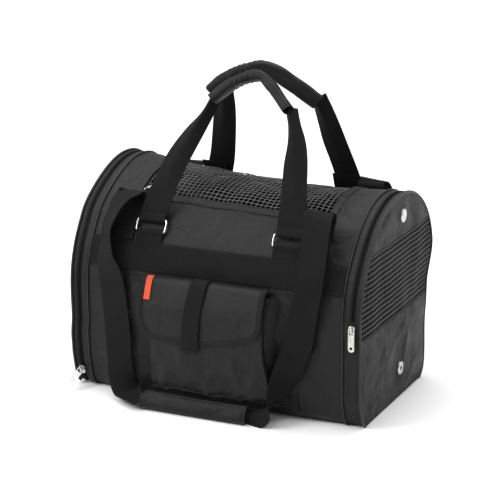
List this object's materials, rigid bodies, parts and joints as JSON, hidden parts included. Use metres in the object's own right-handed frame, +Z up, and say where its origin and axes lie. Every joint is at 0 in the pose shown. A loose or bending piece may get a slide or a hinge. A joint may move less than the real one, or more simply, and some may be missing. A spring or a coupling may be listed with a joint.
{
  "type": "pet carrier bag",
  "caption": "Soft-sided pet carrier bag with zipped mesh end doors, mesh roof, flap pocket, carry handles and shoulder straps.",
  "frame": {"origin": "middle of the flat base, on the surface that the bag stands on", "axes": "+X along the bag to the end that folds down at mid height, -Y towards the pocket side, +Z up"},
  "size_m": [0.453, 0.4042, 0.4716],
  "materials": {
    "polyester": "coated woven polyester, soft sheen",
    "webbing": "ribbed polypropylene webbing, matt",
    "mesh": "open knitted mesh",
    "piping": "folded tape, matt",
    "zip": "coil zip on woven tape",
    "metal": "bright nickel plate",
    "label": "woven label, plain",
    "board": "stiff board",
    "cushion": "padded mat",
    "fastener": "hook and loop"
  },
  "bodies": {
    "shell": {"base_panel": "polyester", "side_panel_front": "polyester", "side_panel_rear": "polyester", "top_panel": "polyester", "top_mesh": "mesh", "top_window_tape": "piping", "base_board": "board", "floor_cushion": "cushion", "belt_front": "webbing", "belt_rear": "webbing", "seam_piping": "piping", "left_gusset": "polyester", "left_zip_inner": "zip", "right_gusset": "polyester", "right_lower_gusset": "polyester", "right_zip_inner": "zip", "right_end_panel": "polyester", "right_lower_mesh": "mesh", "right_lower_piping": "piping", "right_socket": "metal", "ring_tabs_front": "webbing", "ring_tabs_rear": "webbing", "front_strap_anchors": "webbing", "rear_strap_anchors": "webbing", "slip_pocket": "polyester", "pocket_body": "polyester", "loop_patch": "fastener"},
    "left_door": {"left_zip_outer": "zip", "left_door_gusset": "polyester", "left_door_bottom": "polyester", "left_door_mesh": "mesh", "left_door_top": "polyester", "left_door_piping": "piping"},
    "right_door": {"right_zip_outer": "zip", "right_door_gusset": "polyester", "right_door_mesh": "mesh", "right_door_top": "polyester", "right_door_piping": "piping", "right_door_stud": "metal"},
    "front_rings": {"front_rings": "metal"},
    "rear_rings": {"rear_rings": "metal"},
    "front_handle": {"front_handle_strap": "webbing", "front_handle_grip": "polyester"},
    "rear_handle": {"rear_handle_strap": "webbing", "rear_handle_grip": "polyester"},
    "front_strap": {"front_strap_left": "webbing", "front_strap_right": "webbing", "front_strap_pad": "polyester"},
    "rear_strap": {"rear_strap_left": "webbing", "rear_strap_right": "webbing", "rear_strap_pad": "polyester"},
    "pocket_flap": {"pocket_flap": "polyester", "flap_binding": "piping", "closure_tab": "webbing", "flap_label": "label", "hook_patch": "fastener"},
    "right_slider": {"right_slider": "metal"},
    "right_pull": {"right_pull": "metal"},
    "left_slider": {"left_slider": "metal"},
    "left_pull": {"left_pull": "metal"}
  },
  "joints": [
    {"name": "left_door_fold", "type": "hinge", "parent": "shell", "child": "left_door", "pos_m": [-0.227, 0, 0.0029], "axis": [0, -1, 0], "range_deg": [0, 90]},
    {"name": "right_door_fold", "type": "hinge", "parent": "shell", "child": "right_door", "pos_m": [0.2295, 0, 0.157], "axis": [0, 1, 0], "range_deg": [0, 175]},
    {"name": "front_ring_swing", "type": "hinge", "parent": "shell", "child": "front_rings", "pos_m": [0, -0.12243, 0.242], "axis": [1, 0, 0], "range_deg": [0, 65]},
    {"name": "rear_ring_swing", "type": "hinge", "parent": "shell", "child": "rear_rings", "pos_m": [0, 0.12243, 0.242], "axis": [-1, 0, 0], "range_deg": [0, 65]},
    {"name": "front_handle_swing", "type": "hinge", "parent": "front_rings", "child": "front_handle", "pos_m": [0, -0.11374, 0.25833], "axis": [1, 0, 0], "range_deg": [0, 60]},
    {"name": "rear_handle_swing", "type": "hinge", "parent": "rear_rings", "child": "rear_handle", "pos_m": [0, 0.11374, 0.25833], "axis": [-1, 0, 0], "range_deg": [0, 60]},
    {"name": "front_strap_swing", "type": "hinge", "parent": "shell", "child": "front_strap", "pos_m": [0, -0.1, 0.292], "axis": [-1, 0, 0], "range_deg": [0, 140]},
    {"name": "rear_strap_swing", "type": "hinge", "parent": "shell", "child": "rear_strap", "pos_m": [0, 0.1, 0.292], "axis": [1, 0, 0], "range_deg": [0, 140]},
    {"name": "flap_lift", "type": "hinge", "parent": "shell", "child": "pocket_flap", "pos_m": [0, -0.1505, 0.186], "axis": [-1, 0, 0], "range_deg": [0, 105]},
    {"name": "right_slider_travel", "type": "slide", "parent": "shell", "child": "right_slider", "axis": [0, 0, 1], "range_m": [0, 0.012]},
    {"name": "right_pull_swing", "type": "hinge", "parent": "right_slider", "child": "right_pull", "pos_m": [0.2125, -0.15284, 0.14815], "axis": [-1, 0, 0], "range_deg": [0, 150]},
    {"name": "left_slider_travel", "type": "slide", "parent": "shell", "child": "left_slider", "axis": [0, -0.2451, 0.9695], "range_m": [0, 0.015]},
    {"name": "left_pull_swing", "type": "hinge", "parent": "left_slider", "child": "left_pull", "pos_m": [-0.2125, -0.13757, 0.02702], "axis": [-0.866, -0.1225, 0.4847], "range_deg": [0, 60]}
  ]
}
